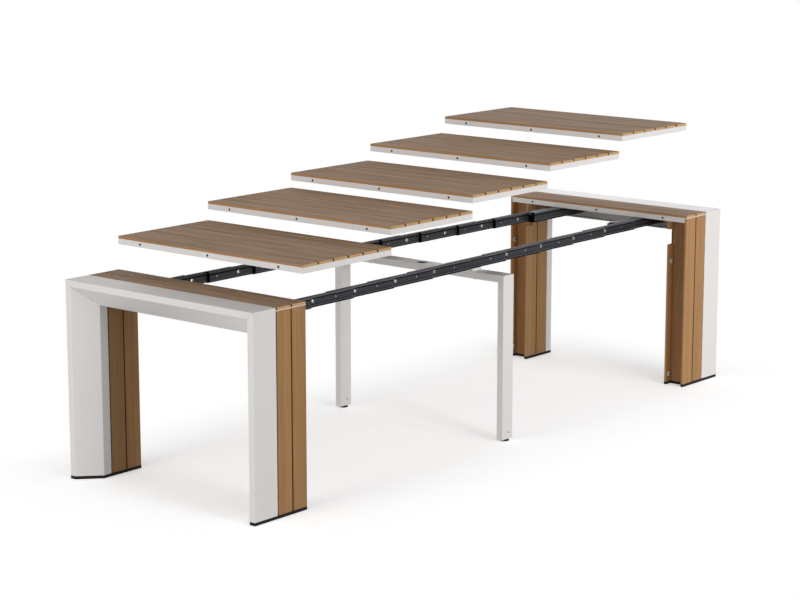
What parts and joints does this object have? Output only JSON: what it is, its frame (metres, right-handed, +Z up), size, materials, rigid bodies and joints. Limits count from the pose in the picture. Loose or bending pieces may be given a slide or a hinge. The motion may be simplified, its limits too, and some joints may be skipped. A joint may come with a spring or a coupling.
{
  "type": "extending console dining table",
  "caption": "Outdoor dining table that extends from a console: two arch ends on telescopic rails, a centre support and loose slatted leaves.",
  "frame": {"origin": "on the floor under the middle of the extended table", "axes": "+X along the table towards the end that pulls out, +Y across the table, +Z up"},
  "size_m": [2.996, 0.96, 1.172],
  "materials": {
    "white_paint": "fine satin powder coat",
    "brown_paint": "matt brown powder coat",
    "board": "brushed wood-composite board",
    "rail": "black satin powder coat",
    "pad": "moulded",
    "bumper": "moulded",
    "dowel": "moulded",
    "foot": "moulded"
  },
  "bodies": {
    "left_end": {"left_leg_near": "white_paint", "left_leg_far": "white_paint", "left_top_band": "white_paint", "left_leg_cores": "brown_paint", "left_top_frame": "white_paint", "left_top_slats": "board", "left_leg_slats": "board", "left_foot_pads": "pad", "left_studs": "bumper", "left_dowels": "dowel", "near_rail_1": "rail", "far_rail_1": "rail"},
    "rail_stage_2": {"near_rail_2": "rail", "far_rail_2": "rail"},
    "rail_stage_3": {"near_rail_3": "rail", "far_rail_3": "rail"},
    "rail_stage_4": {"near_rail_4": "rail", "far_rail_4": "rail"},
    "rail_stage_5": {"near_rail_5": "rail", "far_rail_5": "rail"},
    "rail_stage_6": {"near_rail_6": "rail", "far_rail_6": "rail", "centre_frame": "white_paint"},
    "rail_stage_7": {"near_rail_7": "rail", "far_rail_7": "rail"},
    "rail_stage_8": {"near_rail_8": "rail", "far_rail_8": "rail"},
    "rail_stage_9": {"near_rail_9": "rail", "far_rail_9": "rail"},
    "rail_stage_10": {"near_rail_10": "rail", "far_rail_10": "rail"},
    "right_end": {"right_leg_near": "white_paint", "right_leg_far": "white_paint", "right_top_band": "white_paint", "right_leg_cores": "brown_paint", "right_top_frame": "white_paint", "right_top_slats": "board", "right_leg_slats": "board", "right_foot_pads": "pad", "right_studs": "bumper", "near_rail_11": "rail", "far_rail_11": "rail", "rail_catches": "rail"},
    "leaf_1": {"leaf_1_frame": "white_paint", "leaf_1_slats": "board", "leaf_1_dowels": "dowel"},
    "leaf_2": {"leaf_2_frame": "white_paint", "leaf_2_slats": "board", "leaf_2_dowels": "dowel"},
    "leaf_3": {"leaf_3_frame": "white_paint", "leaf_3_slats": "board", "leaf_3_dowels": "dowel"},
    "leaf_4": {"leaf_4_frame": "white_paint", "leaf_4_slats": "board", "leaf_4_dowels": "dowel"},
    "leaf_5": {"leaf_5_frame": "white_paint", "leaf_5_slats": "board", "leaf_5_dowels": "dowel"},
    "foot_near": {"centre_foot_near": "foot"},
    "foot_far": {"centre_foot_far": "foot"}
  },
  "joints": [
    {"name": "extension", "type": "slide", "parent": "left_end", "child": "right_end", "axis": [-1, 0, 0], "range_m": [0, 2.45]},
    {"name": "stage_2_slide", "type": "slide", "parent": "left_end", "child": "rail_stage_2", "axis": [-1, 0, 0], "range_m": [0, 0.246]},
    {"name": "stage_3_slide", "type": "slide", "parent": "left_end", "child": "rail_stage_3", "axis": [-1, 0, 0], "range_m": [0, 0.491]},
    {"name": "stage_4_slide", "type": "slide", "parent": "left_end", "child": "rail_stage_4", "axis": [-1, 0, 0], "range_m": [0, 0.736]},
    {"name": "stage_5_slide", "type": "slide", "parent": "left_end", "child": "rail_stage_5", "axis": [-1, 0, 0], "range_m": [0, 0.981]},
    {"name": "stage_6_slide", "type": "slide", "parent": "left_end", "child": "rail_stage_6", "axis": [-1, 0, 0], "range_m": [0, 1.226]},
    {"name": "stage_7_slide", "type": "slide", "parent": "left_end", "child": "rail_stage_7", "axis": [-1, 0, 0], "range_m": [0, 1.471]},
    {"name": "stage_8_slide", "type": "slide", "parent": "left_end", "child": "rail_stage_8", "axis": [-1, 0, 0], "range_m": [0, 1.716]},
    {"name": "stage_9_slide", "type": "slide", "parent": "left_end", "child": "rail_stage_9", "axis": [-1, 0, 0], "range_m": [0, 1.961]},
    {"name": "stage_10_slide", "type": "slide", "parent": "left_end", "child": "rail_stage_10", "axis": [-1, 0, 0], "range_m": [0, 2.206]},
    {"name": "leaf_1_lift", "type": "slide", "parent": "rail_stage_2", "child": "leaf_1", "axis": [-0.0995, 0, 0.995], "range_m": [-0.13065, 0]},
    {"name": "leaf_2_lift", "type": "slide", "parent": "rail_stage_4", "child": "leaf_2", "axis": [-0.1019, 0, 0.9948], "range_m": [-0.20607, 0]},
    {"name": "leaf_3_lift", "type": "slide", "parent": "rail_stage_6", "child": "leaf_3", "axis": [-0.1047, 0, 0.9945], "range_m": [-0.26747, 0]},
    {"name": "leaf_4_lift", "type": "slide", "parent": "rail_stage_8", "child": "leaf_4", "axis": [-0.0594, 0, 0.9982], "range_m": [-0.33659, 0]},
    {"name": "leaf_5_lift", "type": "slide", "parent": "rail_stage_10", "child": "leaf_5", "axis": [-0.0123, 0, 0.9999], "range_m": [-0.40703, 0]},
    {"name": "foot_near_screw", "type": "slide", "parent": "rail_stage_6", "child": "foot_near", "axis": [0, 0, 1], "range_m": [-0.006, 0.0015]},
    {"name": "foot_far_screw", "type": "slide", "parent": "rail_stage_6", "child": "foot_far", "axis": [0, 0, 1], "range_m": [-0.006, 0.0015]}
  ],
  "couplings": [
    {"joint": "stage_2_slide", "follows": "extension", "ratio": 0.1},
    {"joint": "stage_3_slide", "follows": "extension", "ratio": 0.2},
    {"joint": "stage_4_slide", "follows": "extension", "ratio": 0.3},
    {"joint": "stage_5_slide", "follows": "extension", "ratio": 0.4},
    {"joint": "stage_6_slide", "follows": "extension", "ratio": 0.5},
    {"joint": "stage_7_slide", "follows": "extension", "ratio": 0.6},
    {"joint": "stage_8_slide", "follows": "extension", "ratio": 0.7},
    {"joint": "stage_9_slide", "follows": "extension", "ratio": 0.8},
    {"joint": "stage_10_slide", "follows": "extension", "ratio": 0.9}
  ]
}
